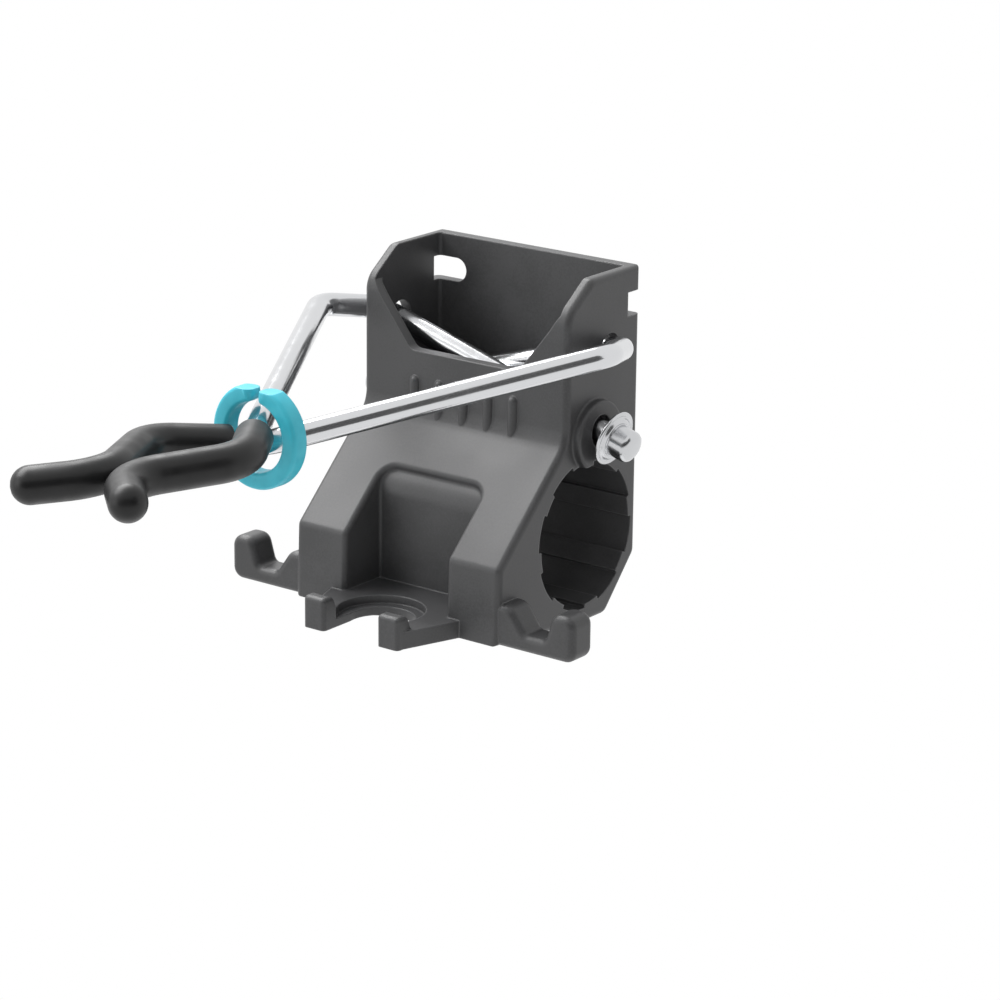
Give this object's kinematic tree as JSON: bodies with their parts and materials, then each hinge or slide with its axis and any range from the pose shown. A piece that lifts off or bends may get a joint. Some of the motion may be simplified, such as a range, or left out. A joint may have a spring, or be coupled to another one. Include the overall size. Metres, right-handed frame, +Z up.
{
  "type": "garden tool holder",
  "caption": "Rail-mounted garden tool holder: a moulded housing with a rail bore and side hooks, and crossing wire arms that close as a rubber-dipped jaw.",
  "frame": {"origin": "centre of the rail bore at the middle of the housing's width", "axes": "+X along the rail bore to the right as seen from the front, -Y towards the front, where the jaw is, +Z up"},
  "size_m": [0.108, 0.173, 0.0879],
  "materials": {
    "housing_plastic": "fine spark-eroded satin",
    "wire_chrome": "bright plated",
    "dip_rubber": "glossy dipped",
    "ring_plastic": "smooth"
  },
  "bodies": {
    "housing": {"housing": "housing_plastic"},
    "left_arm": {"left_arm_wire": "wire_chrome", "front_grip": "dip_rubber", "right_end_cap": "wire_chrome"},
    "right_arm": {"right_arm_wire": "wire_chrome", "rear_grip": "dip_rubber", "left_end_cap": "wire_chrome"},
    "ring": {"crossing_ring": "ring_plastic"}
  },
  "joints": [
    {"name": "left_arm_lift", "type": "hinge", "parent": "housing", "child": "left_arm", "pos_m": [-0.032, 0.0029, 0.0456], "axis": [-0.9603, 0, 0.279], "range_deg": [0, 30]},
    {"name": "right_arm_lift", "type": "hinge", "parent": "housing", "child": "right_arm", "pos_m": [0.032, 0.0092, 0.0456], "axis": [-0.9603, 0, -0.279], "range_deg": [0, 26.6]},
    {"name": "ring_follow", "type": "hinge", "parent": "housing", "child": "ring", "pos_m": [0, 0.0009, -0.0021], "axis": [-1, 0, 0], "range_deg": [0, 28.7]}
  ],
  "couplings": [
    {"joint": "right_arm_lift", "follows": "left_arm_lift", "ratio": 0.885},
    {"joint": "ring_follow", "follows": "left_arm_lift", "ratio": 0.956}
  ]
}
